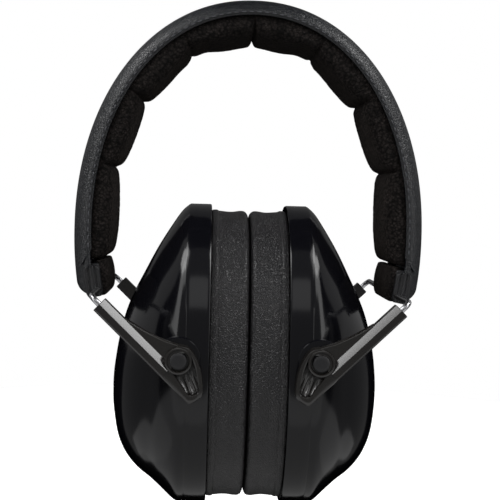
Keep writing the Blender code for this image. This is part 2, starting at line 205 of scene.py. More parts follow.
def bent(shape):
    """Bends a shape modelled straight, as (length, y, depth), round the band."""
    for vert in shape.verts:
        length, y, depth = vert.co
        vert.co = band_point(angle_at(length), depth, y)
    bmesh.ops.recalc_face_normals(shape, faces=shape.faces)
    return shape


def arm_axes():
    run = Vector((-math.cos(ARM_SLOPE), 0.0, -math.sin(ARM_SLOPE)))
    return run, Vector((run.z, 0.0, -run.x))


def arm_matrix():
    """From (along, across, proud of the arm's inner face) to the front of the right side."""
    run, rise = arm_axes()
    made = Matrix.Identity(4)
    for column, axis in enumerate((run, rise, Vector((0.0, -1.0, 0.0)))):
        made.col[column][:3] = axis
    made.col[3][:3] = ARM_TIP + Vector((0.0, -ARM_INNER, 0.0))
    return made


def pivot_place():
    run, rise = arm_axes()
    return ARM_TIP + run * PIVOT[0] + rise * PIVOT[1]


def oval(x, top, bottom, half_width, turn):
    """A point on an upright oval a little squarer than an ellipse, at a turn in radians."""
    across, up = squared(turn, 2 / CUP_SQUARENESS)
    return Vector((x, half_width * across, (top + bottom) / 2 + (top - bottom) / 2 * up))


def along_curve(points, share):
    """A smooth curve through evenly spaced points, from 0 to 1."""
    last = len(points) - 1
    place = min(max(share, 0.0), 1.0) * last
    i = min(int(place), last - 1)
    t = place - i
    p1, p2 = Vector(points[i]), Vector(points[i + 1])
    p0 = Vector(points[i - 1]) if i > 0 else 2 * p1 - p2
    p3 = Vector(points[i + 2]) if i + 2 <= last else 2 * p2 - p1
    return 0.5 * (2 * p1 + (p2 - p0) * t + (2 * p0 - 5 * p1 + 4 * p2 - p3) * t ** 2
                  + (3 * p1 - p0 - 3 * p2 + p3) * t ** 3)


# ---------------------------------------------------------------- shapes

def wrapped(columns, rows, place, metres=(1.0, 1.0)):
    """A flat grid wrapped into a shape: place(u, v) puts each of its points, u and v from 0 to 1.

    Edges that meet are merged, holes are filled, and the UV map is the flat grid in metres.
    """
    shape = bmesh.new()
    shape.loops.layers.uv.new("UVMap")
    bmesh.ops.create_grid(shape, x_segments=columns, y_segments=rows, size=0.5, calc_uvs=True)
    flat = shape.loops.layers.uv[0]
    for face in shape.faces:
        for loop in face.loops:
            loop[flat].uv = (loop[flat].uv.x * metres[0], loop[flat].uv.y * metres[1])
    for vert in shape.verts:
        vert.co = place(vert.co.x + 0.5, vert.co.y + 0.5)
    bmesh.ops.remove_doubles(shape, verts=shape.verts, dist=1e-6)
    bmesh.ops.dissolve_degenerate(shape, edges=shape.edges, dist=1e-7)
    bmesh.ops.holes_fill(shape, edges=shape.edges, sides=0)
    bmesh.ops.recalc_face_normals(shape, faces=shape.faces)
    return shape


def lathed(profile, origin, axis, steps=48):
    """A profile of (along the axis, radius) points spun about the axis and closed."""
    axis = Vector(axis).normalized()
    side = axis.orthogonal().normalized()
    shape = bmesh.new()
    row = [shape.verts.new(Vector(origin) + axis * along + side * radius)
           for along, radius in profile]
    edges = [shape.edges.new(pair) for pair in zip(row, row[1:])]
    bmesh.ops.spin(shape, geom=row + edges, cent=origin, axis=axis, angle=2 * math.pi,
                   steps=steps, use_merge=True)
    bmesh.ops.remove_doubles(shape, verts=shape.verts, dist=1e-6)
    bmesh.ops.holes_fill(shape, edges=shape.edges, sides=0)
    bmesh.ops.recalc_face_normals(shape, faces=shape.faces)
    return shape


def round_edges(shape, edges, offset, segments=3):
    bmesh.ops.bevel(shape, geom=edges, offset=offset, affect="EDGES", segments=segments,
                    profile=0.5, material=-1)


def slab(outline, low, high, bevel=0.0):
    """An outline of (x, y) points extruded from low to high, its top edges rounded by bevel."""
    shape = bmesh.new()
    face = shape.faces.new([shape.verts.new((x, y, low)) for x, y in outline])
    grown = bmesh.ops.extrude_face_region(shape, geom=[face])["geom"]
    bmesh.ops.translate(shape, vec=(0, 0, high - low),
                        verts=[g for g in grown if isinstance(g, bmesh.types.BMVert)])
    bmesh.ops.recalc_face_normals(shape, faces=shape.faces)
    if bevel:
        top = [e for e in shape.edges if all(abs(v.co.z - high) < 1e-6 for v in e.verts)]
        round_edges(shape, top, bevel)
    return shape


def merged(target, *others):
    """Adds other shapes to a shape and frees them."""
    for other in others:
        data = bpy.data.meshes.new("part")
        other.to_mesh(data)
        other.free()
        target.from_mesh(data)
        bpy.data.meshes.remove(data)
    return target


def reflected(shape, across=1, along=1):
    """A copy of a shape, reflected in X or Y where a sign is -1."""
    made = shape.copy()
    bmesh.ops.scale(made, vec=(across, along, 1), verts=made.verts)
    bmesh.ops.recalc_face_normals(made, faces=made.faces)
    return made


def add_piece(name, shape, cloth, sharp=38.0):
    """Makes a piece of a shape, which it frees, in one of the finishes."""
    data = bpy.data.meshes.new(name)
    shape.to_mesh(data)
    shape.free()
    data.materials.append(finish(cloth))
    data.shade_smooth()
    data.set_sharp_from_angle(angle=math.radians(sharp))
    piece = bpy.data.objects.new(name, data)
    bpy.context.scene.collection.objects.link(piece)
    return piece


def on_both_sides(name, shape, cloth, sharp=38.0):
    """Adds a piece on each side from the shape of the right one, which it frees."""
    for side, across in SIDES:
        yield side, add_piece(f"{name}_{side}", reflected(shape, across), cloth, sharp)
    shape.free()


def at_corners(name, shape, cloth, sharp=38.0):
    """Adds pieces front and rear on each side from the shape of the front right one, which it frees."""
    for side, across in SIDES:
        for end, along in ENDS:
            made = reflected(shape, across, along)
            yield end, side, add_piece(f"{name}_{end}_{side}", made, cloth, sharp)
    shape.free()


def settle(piece):
    """Applies a piece's modifiers as they are at this frame."""
    graph = bpy.context.evaluated_depsgraph_get()
    made = bpy.data.meshes.new_from_object(piece.evaluated_get(graph))
    old = piece.data
    piece.modifiers.clear()
    piece.data = made
    made.name = old.name
    bpy.data.meshes.remove(old)


def inflated(piece, held, cap, pressure=4.0, stiffness=15.0, frames=20):
    """Swells a closed piece with cloth, up to cap. held(point) says which points are sewn down."""
    start = [vert.co.copy() for vert in piece.data.vertices]
    group = piece.vertex_groups.new(name="held")
    group.add([i for i, point in enumerate(start) if held(point)], 1.0, "REPLACE")
    cloth = piece.modifiers.new("cloth", "CLOTH")
    settings = cloth.settings
    settings.vertex_group_mass = group.name
    settings.use_pressure = True
    settings.uniform_pressure_force = pressure
    settings.tension_stiffness = settings.compression_stiffness = stiffness
    settings.effector_weights.gravity = 0.0
    cloth.point_cache.frame_start = 1
    cloth.point_cache.frame_end = frames
    scene = bpy.context.scene
    for number in range(1, frames + 1):
        scene.frame_set(number)
    settle(piece)
    for vert, was in zip(piece.data.vertices, start):
        move = vert.co - was
        if move.length > cap:
            vert.co = was + move * (cap / move.length)
    piece.vertex_groups.clear()
    scene.frame_set(1)


def swollen(shape, cloth, voxel, held, cap):
    """The shape with its mesh evened out, swollen by cloth and smoothed."""
    piece = add_piece("padding", shape, cloth)
    even = piece.modifiers.new("even", "REMESH")
    even.mode, even.voxel_size = "VOXEL", voxel
    settle(piece)
    inflated(piece, held, cap)
    smooth = piece.modifiers.new("smooth", "SUBSURF")
    smooth.levels = smooth.render_levels = 1
    settle(piece)
    made = bmesh.new()
    made.from_mesh(piece.data)
    bpy.data.objects.remove(piece)
    return made


def flattened(piece):
    """Keeps the shading of wide faces flat, so that only the rounded edges between them turn."""
    modifier = piece.modifiers.new("flat", "WEIGHTED_NORMAL")
    modifier.keep_sharp = True
    settle(piece)


# ---------------------------------------------------------------- finishes

BAND_SKIN, CUSHION_SKIN = "Leatherette, embossed PVC", "Leatherette, soft PU skin"
PLUSH, SHELL, SMOKE = "Plush, knitted loop pile", "ABS, gloss moulded", "Polycarbonate, smoke moulded"
NYLON, STEEL = "Nylon, satin moulded", "Spring steel, drawn"
FOAM, THREAD, PAPER = "Polyurethane foam, open cell", "Polyester thread, twisted", "Paper, matt white"

# Patterns to the metre: clouds in the leatherette's gloss are 6 mm wide, flow marks in plastic 22 mm,
# its spark grain 0.3 mm, draw marks in steel 1.1 mm and the foam's cells 0.7 mm
CLOUDS, FLOW, SPARK, DRAWN, CELLS = 160.0, 45.0, 3500.0, 900.0, 1400.0
WHITE = (1.0, 1.0, 1.0, 1.0)


def first_output(source):
    return source if isinstance(source, bpy.types.NodeSocket) else source.outputs[0]


def add_node(tree, kind, values=None, links=None, **settings):
    """Adds one shader node with its settings, its socket values and the links that feed it."""
    made = tree.nodes.new("ShaderNode" + kind)
    for name, value in settings.items():
        setattr(made, name, value)
    for socket, value in (values or {}).items():
        made.inputs[socket].default_value = value
    for socket, source in (links or {}).items():
        tree.links.new(first_output(source), made.inputs[socket])
    return made


def new_finish(name, colour, **values):
    """A material with its shader's constant sockets set, and the coordinates for its patterns."""
    made = bpy.data.materials.new(name)
    made.use_nodes = True
    tree = made.node_tree
    shader = tree.nodes["Principled BSDF"]
    shader.inputs["Base Color"].default_value = (*colour, 1.0)
    for socket, value in values.items():
        shader.inputs[socket.replace("_", " ")].default_value = value
    return tree, shader, add_node(tree, "TexCoord").outputs["Object"]


def feed(shader, **sources):
    """Links patterns to the shader's sockets of those names."""
    for socket, source in sources.items():
        shader.id_data.links.new(first_output(source), shader.inputs[socket.replace("_", " ")])


def tinted(colour, strength):
    return (*[part * strength for part in colour], 1.0)


def leatherette(name, colour, grain, roughness, specular, depth):
    """Embossed pebbles with fine creases, and a soft satin gloss, with painted shade darkening the
    creases and painted light brightening the pebble tops. grain is a share of the size's.
    """
    grain *= bpy.context.scene.earmuff_sizes.leather_grain
    tree, shader, place = new_finish(name, colour, Specular_IOR_Level=specular)
    drift = add_node(tree, "TexNoise", {"Scale": 0.25 / grain, "Detail": 2.0}, {"Vector": place})
    pushed = add_node(tree, "VectorMath", {"Scale": grain * 0.7}, {0: drift.outputs["Color"]},
                      operation="SCALE")
    moved = add_node(tree, "VectorMath", None, {0: place, 1: pushed}, operation="ADD")
    pebble = add_node(tree, "TexVoronoi", {"Scale": 1 / grain}, {"Vector": moved},
                      feature="DISTANCE_TO_EDGE")
    soft = add_node(tree, "MapRange", {"From Max": 0.22}, {"Value": pebble.outputs["Distance"]},
                    interpolation_type="SMOOTHSTEP")
    crease = add_node(tree, "TexNoise", {"Scale": 1.8 / grain, "Detail": 3.0}, {"Vector": place})
    height = add_node(tree, "Math", {1: 0.35}, {0: crease, 2: soft}, operation="MULTIPLY_ADD")
    bump = add_node(tree, "Bump", {"Strength": depth, "Distance": grain * 0.16}, {"Height": height})
    cloud = add_node(tree, "TexNoise", {"Scale": CLOUDS, "Detail": 4.0}, {"Vector": place})
    gloss = add_node(tree, "MapRange", {"To Min": roughness - 0.06, "To Max": roughness + 0.1},
                     {"Value": cloud})
    # Painted shade and light: a shaded copy of the colour in the creases between pebbles, a lit copy on
    # their tops
    shaded_creases = add_node(tree, "MixRGB", {"Color1": tinted(colour, 0.75), "Color2": tinted(colour, 1.5)},
                    {"Fac": soft})
    feed(shader, Normal=bump, Roughness=gloss, Base_Color=shaded_creases)


def plush(name, colour):
    """Tufts with a painted highlight on their tips and painted shade at their roots, dyed unevenly, and a
    faint sheen where they turn away.
    """
    pile = bpy.context.scene.earmuff_sizes.pile
    tree, shader, place = new_finish(name, colour, Roughness=0.95, Specular_IOR_Level=0.2,
                                     Sheen_Weight=0.06, Sheen_Roughness=0.5,
                                     Sheen_Tint=(*linear("#8a7768"), 1.0))
    tuft = add_node(tree, "TexVoronoi", {"Scale": 1 / pile}, {"Vector": place}, feature="F1")
    fibre = add_node(tree, "TexNoise", {"Scale": 2.5 / pile, "Detail": 4.0}, {"Vector": place})
    clump = add_node(tree, "TexNoise", {"Scale": 0.18 / pile, "Detail": 3.0}, {"Vector": place})
    height = add_node(tree, "Math", {1: 0.6}, {0: fibre, 2: tuft.outputs["Distance"]},
                      operation="MULTIPLY_ADD")
    bump = add_node(tree, "Bump", {"Strength": 0.9, "Distance": pile * 0.5}, {"Height": height})
    tint = add_node(tree, "MapRange", {"From Min": 0.35, "From Max": 0.7}, {"Value": clump})
    dyed = add_node(tree, "MixRGB", {"Color1": tinted(colour, 0.7), "Color2": tinted(colour, 1.5)},
                    {"Fac": tint})
    # Painted light and shade: bright at each tuft's middle as a lit tip, dark between tufts as shaded
    # roots
    depth = add_node(tree, "MapRange", {"From Min": 0.15, "From Max": 0.75, "To Min": 2.4,
                                        "To Max": 0.25}, {"Value": tuft.outputs["Distance"]})
    lit_tips_shaded_roots = add_node(tree, "VectorMath", None, {0: dyed, "Scale": depth}, operation="SCALE")
    feed(shader, Normal=bump, Base_Color=lit_tips_shaded_roots)


def moulded(name, colour, roughness, grain=0.0, specular=0.5):
    """The mould's gloss with faint flow marks, and as much fine grain as grain says."""
    tree, shader, place = new_finish(name, colour, Specular_IOR_Level=specular)
    flow = add_node(tree, "TexNoise", {"Scale": FLOW, "Detail": 3.0}, {"Vector": place})
    gloss = add_node(tree, "MapRange", {"To Min": roughness * 0.8, "To Max": roughness * 1.25},
                     {"Value": flow})
    spark = add_node(tree, "TexNoise", {"Scale": SPARK, "Detail": 2.0}, {"Vector": place})
    height = add_node(tree, "Math", {1: grain}, {0: spark, 2: flow}, operation="MULTIPLY_ADD")
    bump = add_node(tree, "Bump", {"Strength": 0.12, "Distance": 0.0003}, {"Height": height})
    feed(shader, Roughness=gloss, Normal=bump)


def steel(name, colour):
    """Bright metal whose gloss varies with fine draw marks."""
    tree, shader, place = new_finish(name, colour, Metallic=1.0)
    marks = add_node(tree, "TexNoise", {"Scale": DRAWN, "Detail": 3.0}, {"Vector": place})
    gloss = add_node(tree, "MapRange", {"To Min": 0.14, "To Max": 0.34}, {"Value": marks})
    feed(shader, Roughness=gloss)


def foam(name, colour):
    """A matt skin full of open cells, with painted shade darkening their hollows."""
    tree, shader, place = new_finish(name, colour, Roughness=0.97, Specular_IOR_Level=0.15)
    cells = add_node(tree, "TexVoronoi", {"Scale": CELLS}, {"Vector": place}).outputs["Distance"]
    bump = add_node(tree, "Bump", {"Strength": 1.0, "Distance": 0.0005}, {"Height": cells})
    # Painted shade: the colour darkens towards black in the middle of each cell's hollow
    depth = add_node(tree, "MapRange", {"From Max": 0.6, "To Min": 0.35, "To Max": 1.0},
                     {"Value": cells})
    dark = add_node(tree, "MixRGB", {"Color1": (0.0, 0.0, 0.0, 1.0), "Color2": (*colour, 1.0)},
                    {"Fac": depth})
    feed(shader, Normal=bump, Base_Color=dark)


def paper(name, colour):
    """Lit from within, so that it is as white as the room behind it."""
    new_finish(name, colour, Roughness=0.9, Specular_IOR_Level=0.1, Emission_Strength=0.5,
               Emission_Color=WHITE)


# What makes each finish, its colour, its slot and its settings
FINISHES = {
    # Roller-embossed PVC on fabric: shallow pebbles, satin
    BAND_SKIN: (leatherette, "leatherette", "leatherette",
                {"grain": 1.0, "roughness": 0.29, "specular": 0.6, "depth": 0.5}),
    # Soft PU film over foam: finer, deeper pebbles that glitter a little
    CUSHION_SKIN: (leatherette, "cushion", "cushion_leatherette",
                   {"grain": 0.9, "roughness": 0.34, "specular": 0.65, "depth": 1.0}),
    # Knitted loops: no gloss, only a broken surface of tufts
    PLUSH: (plush, "plush", "plush", {}),
    # ABS from a polished tool: clear reflections
    SHELL: (moulded, "shell", "shell_plastic", {"roughness": 0.13, "specular": 0.42}),
    # Polycarbonate from a polished tool: brighter and a little softer
    SMOKE: (moulded, "arm", "smoke_plastic", {"roughness": 0.20, "specular": 0.8}),
    # Nylon from a spark-eroded tool: satin
    NYLON: (moulded, "clip", "clip_plastic", {"roughness": 0.42, "grain": 0.5}),
    # Drawn spring wire and strip: bright
    STEEL: (steel, "steel", "spring_steel", {}),
    # Open-cell foam: matt and dark
    FOAM: (foam, "foam", "foam", {}),
    # Twisted filament: dull, and part of the cover that it is sewn through
    THREAD: (moulded, "thread", "leatherette", {"roughness": 0.6, "grain": 0.8}),
    PAPER: (paper, "floor", None, {}),
}


def finish(name):
    """Returns one of the earmuff's finishes, made the first time it is asked for."""
    if name not in bpy.data.materials:
        make, colour, _, settings = FINISHES[name]
        make(name, getattr(bpy.context.scene.earmuff_colours, colour), **settings)
    return bpy.data.materials[name]


def dress(name, *nodes):
    """Gives CAD nodes that stay as they are one of the finishes."""
    for node in nodes:
        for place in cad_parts[node].material_slots:
            place.material = finish(name)


def across_hinge(piece):
    """Bakes a piece's placement into its mesh."""
    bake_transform(piece)


# ---------------------------------------------------------------- operators

COVER_LIP = 0.0057
# Half of the cover's section, from the middle of its face over the turned lip to the inside
# (depth, y)
COVER_HALF = (
    (-0.0009, 0.0), (-0.0009, 0.0056), (-0.0007, 0.0100), (-0.0001, 0.0130), (0.0014, 0.0148),
    (0.0030, 0.0158), (0.0045, 0.0164), (0.0053, 0.0162), (COVER_LIP, 0.0155), (0.0052, 0.0149),
    (0.0036, 0.0147), (0.0022, 0.0136), (0.0016, 0.0110), (0.0014, 0.0060), (0.0013, 0.0),
)
# Half of a pad's section, from the middle of its hidden top to the middle of its face
PAD_HALF = (
    (0.0036, 0.0), (0.0036, 0.0080), (0.0037, 0.0130), (0.0042, 0.0143), (0.0058, 0.0151),
    (0.0082, 0.0155), (0.0100, 0.0150), (0.0113, 0.0133), (0.0119, 0.0100), (0.0121, 0.0050),
    (0.0121, 0.0),
)
# The pad keeps its section down to this depth, and swells below it
PAD_NECK = 0.0048


def lip_share(length):
    """How deep the cover's lip is at a length, as a share of its depth at the ends of the band."""
    return 0.80 + 0.12 * min(1.0, length / length_at(BAND_END))


def nose(length):
    """How far the cover has turned in at a length, where it closes the end of the band."""
    reach = COVER_LIP - 0.0002
    left = length_at(BAND_END) - length
    return reach * (1 - math.sqrt(max(0.0, 1 - max(0.0, 1 - left / reach) ** 2)))


def half_and_half(half, share):
    """A point of a closed section that is a half section and its reflection."""
    hand = 1 if share < 0.5 else -1
    depth, y = along_curve(half, 1 - abs(1 - 2 * share))
    return depth, hand * y


class EARMUFF_OT_cover(bpy.types.Operator):
    """Builds the leatherette cover of the headband, closed round its ends"""
    bl_idname = "earmuff.cover"
    bl_label = "Headband cover"

    def execute(self, context):
        end = length_at(BAND_END) - 0.00005

        def place(u, v):
            # The rows crowd towards the end, where the cover turns in
            length = end * (1 - (1 - u) ** 1.35)
            depth, y = half_and_half(COVER_HALF, v)
            depth *= lip_share(length)
            turn = nose(length)
            y *= 1 - 0.10 * (turn / COVER_LIP) ** 2
            return Vector((length, y, depth + turn * (1 - depth / COVER_LIP)))

        shape = bent(wrapped(170, 96, place, (end, 0.09)))
        for side, piece in on_both_sides("headband_skin", shape, BAND_SKIN):
            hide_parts("headband_cover_crown", f"headband_cover_{side}")
            across_hinge(piece)
        return {"FINISHED"}


class EARMUFF_OT_seams(bpy.types.Operator):
    """Builds the piping along both lips of the cover and the stitches beside it"""
    bl_idname = "earmuff.seams"
    bl_label = "Piping and stitches"

    piping_radius = 0.00042
    piping_y = 0.0158
    # The piping starts to turn outwards at the first angle, and ends at the second
    turn_angle, end_angle = 94.6, 97.8
    # The stitches' end, and their place on the section
    last_stitch = 95.5
    stitch_y, stitch_depth = 0.01638, 0.0049

    def piping(self):
        """One lip's cord, which turns out round the end clip's tongue."""
        last = length_at(self.end_angle)

        def place(u, v):
            length = last * u
            out = max(0.0, length - length_at(self.turn_angle))
            centre = COVER_LIP * lip_share(length) - 0.0001 - 0.75 * out
            turn = 2 * math.pi * v
            lift = self.piping_radius * math.sin(turn)
            return Vector((length, self.piping_y + 0.0002 * min(1, out / 0.001) + lift,
                           centre + self.piping_radius * math.cos(turn)))

        return bent(wrapped(220, 10, place, (last, 2 * math.pi * self.piping_radius)))

    def stitches(self, sizes):
        """Short capsules of thread sunk in the skin just above the piping."""
        shape = bmesh.new()
        capsule = (sizes.stitch_length, sizes.thread, sizes.thread * 1.3)
        for number in range(int(length_at(self.last_stitch) / sizes.stitch_pitch)):
            made = bmesh.ops.create_uvsphere(shape, u_segments=6, v_segments=5, radius=0.5)["verts"]
            bmesh.ops.rotate(shape, verts=made, matrix=Matrix.Rotation(math.pi / 2, 3, "Y"))
            bmesh.ops.scale(shape, verts=made, vec=capsule)
            length = (number + 0.5) * sizes.stitch_pitch
            bmesh.ops.translate(shape, verts=made, vec=(length, self.stitch_y,
                                                        self.stitch_depth * lip_share(length)))
        return bent(shape)

    def execute(self, context):
        for name, front, cloth in (
                ("headband_piping", self.piping(), BAND_SKIN),
                ("headband_stitches", self.stitches(context.scene.earmuff_sizes), THREAD)):
            for side, piece in on_both_sides(name, merged(front, reflected(front, 1, -1)), cloth):
                across_hinge(piece)
        return {"FINISHED"}


class EARMUFF_OT_pads(bpy.types.Operator):
    """Builds the quilted plush pads under the band, swollen by cloth simulation"""
    bl_idname = "earmuff.pads"
    bl_label = "Headband pads"

    # Room between the last lobe and the end piece
    gap = 0.00035
    # How deep the pad is at each of its seams
    valleys = (0.0104, 0.0104, 0.0090, 0.0086, 0.0084)
    # How far from a seam the plush is sewn down, and how wide and deep the stitches pull it in
    sewn, pull_width, pull_depth = 0.0009, 0.0007, 0.0011

    def depth_at(self, length, full):
        """The pad's depth at a length: least at the seams, most towards the lower end of a lobe."""
        seams = [length_at(angle) for angle in PAD_SEAMS]
        for low, high, above, below in zip(seams, seams[1:], self.valleys, self.valleys[1:]):
            if low <= length <= high:
                share = (length - low) / (high - low)
                valley = above + (below - above) * share
                skew = 0.8 if low == 0 else 1.2
                return valley + (full - valley) * math.sin(math.pi * share ** skew) ** 0.4
        return self.valleys[0] if length < 0 else self.valleys[-1]

    def seam_distance(self, length):
        return min(abs(length - length_at(angle)) for angle in PAD_SEAMS)

    def strip(self, sizes):
        low, high = -0.0006, length_at(PAD_SEAMS[-1]) - self.gap

        def place(u, v):
            length = low + (high - low) * u
            depth, y = half_and_half(PAD_HALF, v)
            full = self.depth_at(length, sizes.pad_full)
            if depth > PAD_NECK:
                depth = PAD_NECK + (depth - PAD_NECK) * (full - PAD_NECK) / (PAD_HALF[-1][0] - PAD_NECK)
                y *= 0.95 + 0.05 * full / sizes.pad_full
            return Vector((length, y, depth))

        return wrapped(200, 60, place)

    def execute(self, context):
        def held(point):
            return point.z < 0.0058 or self.seam_distance(point.x) < self.sewn

        shape = swollen(self.strip(context.scene.earmuff_sizes), PLUSH, 0.0011, held, 0.0011)
        for vert in shape.verts:
            length, y, depth = vert.co
            if depth > PAD_NECK:
                pull = math.exp(-(self.seam_distance(length) / self.pull_width) ** 1.3)
                edge = min(1.0, (depth - PAD_NECK) / 0.0035)
                vert.co.z -= self.pull_depth * pull * edge
                vert.co.y -= math.copysign(0.0008 * pull * edge, y) if abs(y) > 0.010 else 0.0
                here = Vector((length, y, depth))
                uneven = 0.00010 * noise.noise(here * 160) + 0.00009 * noise.noise(here * 900)
                vert.co += vert.normal * edge * uneven
        bent(shape)
        # The two crown lobes lie flat over the head and meet in the middle
        for vert in shape.verts:
            flat = 0.8 * min(1.0, max(0.0, (0.0215 - vert.co.x) / 0.007))
            if vert.co.z < 0.0:
                vert.co.z *= 1 - flat
            vert.co.x = max(vert.co.x, 0.00002)
        for side, piece in on_both_sides("headband_pad", shape, PLUSH, 180):
            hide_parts(f"pad_crown_{side}", *[f"pad_lobe_{i}_{side}" for i in (1, 2, 3)])
            across_hinge(piece)
        self.ends()
        return {"FINISHED"}

    def ends(self):
        """The short plush pieces that round off the ends of the band, inside the clips."""
        low, high = length_at(PAD_SEAMS[-1]) + self.gap, length_at(BAND_END) + 0.0006

        def place(u, v):
            length = low + (high - low) * u
            turn = 2 * math.pi * v
            swell = math.sin(math.pi * min(1.0, 0.12 + 0.88 * u)) ** 0.45
            top, bottom = 0.0056 + 0.0004 * u, 0.0078 + 0.0022 * swell
            middle, half = (top + bottom) / 2, (bottom - top) / 2
            depth = middle + half * squared(turn, 0.6)[0]
            y = 0.0149 * squared(turn, 0.35)[1] * (0.9 + 0.1 * swell)
            return Vector((length, y, depth))

        shape = swollen(wrapped(40, 64, place), PLUSH, 0.0009, lambda point: point.z < 0.0062, 0.0005)
        for side, piece in on_both_sides("headband_pad_end", bent(shape), PLUSH, 180):
            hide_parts(f"pad_end_{side}")
            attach(piece, f"leg_{side}")


class EARMUFF_OT_clips(bpy.types.Operator):
    """Builds the moulded clips in the ends of the band, with a fluted tongue front and rear"""
    bl_idname = "earmuff.clips"
    bl_label = "End clips"

    def tongue(self):
        """The rounded, fluted tongue on the front of the clip, modelled straight."""
        low, high = length_at(97.9), length_at(BAND_END) + 0.0002
        middle, half = 0.0051, 0.00265
        section = ((-1.0, 0.0), (-1.0, 0.0010), (-0.86, 0.0015), (-0.62, 0.0015), (-0.42, 0.0011),
                   (-0.22, 0.0015), (0.0, 0.0012), (0.22, 0.0015), (0.42, 0.0011), (0.62, 0.0015),
                   (0.86, 0.0015), (1.0, 0.0010), (1.0, 0.0))

        def place(u, v):
            length = low + (high - low) * u
            width = math.sqrt(max(0.02, 1 - max(0.0, 1 - u / 0.22) ** 2))
            width *= 1 - 0.28 * max(0.0, (u - 0.8) / 0.2) ** 2
            across, proud = along_curve(section, v)
            proud *= min(1.0, u / 0.06 + 0.15)
            return Vector((length, -0.0153 - proud, middle + half * across * width))

        return wrapped(60, 96, place)

    def body(self):
        """The block that fills the end of the band."""
        shape = bmesh.new()
        bmesh.ops.create_cube(shape, size=1.0)
        low, high = length_at(97.6), length_at(BAND_END) - 0.0001
        bmesh.ops.scale(shape, vec=(high - low, 0.0300, 0.0040), verts=shape.verts)
        bmesh.ops.translate(shape, vec=((low + high) / 2, 0.0, 0.0056), verts=shape.verts)
        round_edges(shape, shape.edges, 0.0008)
        bmesh.ops.subdivide_edges(shape, edges=shape.edges, cuts=3, use_grid_fill=True)
        return shape

    def execute(self, context):
        front = bent(self.tongue())
        shape = merged(bent(self.body()), front, reflected(front, 1, -1))
        for side, piece in on_both_sides("band_clip", shape, NYLON):
            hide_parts(f"end_clip_{side}")
            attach(piece, f"leg_{side}")
        return {"FINISHED"}


class EARMUFF_OT_wires(bpy.types.Operator):
    """Builds the two bent wires, and finishes the steel strip in the band and the wires' beads"""
    bl_idname = "earmuff.wires"
    bl_label = "Wires and spring"

    def route(self):
        """Points and directions from the middle of the wire to the end of its front leg."""
        run, _ = arm_axes()
        corner = ARM_TIP - run * WIRE_LEAD
        forward = Vector((0.0, -1.0, 0.0))
        straight = [(corner + forward * (WIRE_PLANE - WIRE_BEND) * i / 6, forward) for i in range(7)]
        centre = corner + forward * (WIRE_PLANE - WIRE_BEND) + run * WIRE_BEND
        bend = []
        for i in range(1, 13):
            turn = math.pi / 2 * i / 12
            bend.append((centre + WIRE_BEND * (forward * math.sin(turn) - run * math.cos(turn)),
                         forward * math.cos(turn) + run * math.sin(turn)))
        leg = [(bend[-1][0] + run * (WIRE_LEG - WIRE_BEND) * i / 5, run) for i in range(1, 6)]
        return straight + bend + leg

    def execute(self, context):
        radius = context.scene.earmuff_sizes.wire
        half = self.route()
        rear = [(Vector((p.x, -p.y, p.z)), Vector((-d.x, d.y, -d.z))) for p, d in reversed(half[1:])]
        stops = rear + half
        flat = arm_axes()[1]

        def place(u, v):
            point, direction = stops[round(u * (len(stops) - 1))]
            side = direction.cross(flat).normalized()
            turn = 2 * math.pi * v
            return point + radius * (flat * math.cos(turn) + side * math.sin(turn))

        shape = wrapped(len(stops) - 1, 20, place)
        for side, piece in on_both_sides("bent_wire", shape, STEEL):
            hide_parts(f"wire_bail_{side}")
            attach(piece, f"bail_{side}")
            dress(STEEL, f"spring_strip_{side}", f"wire_bead_front_{side}", f"wire_bead_rear_{side}")
        dress(STEEL, "spring_strip_crown")
        return {"FINISHED"}


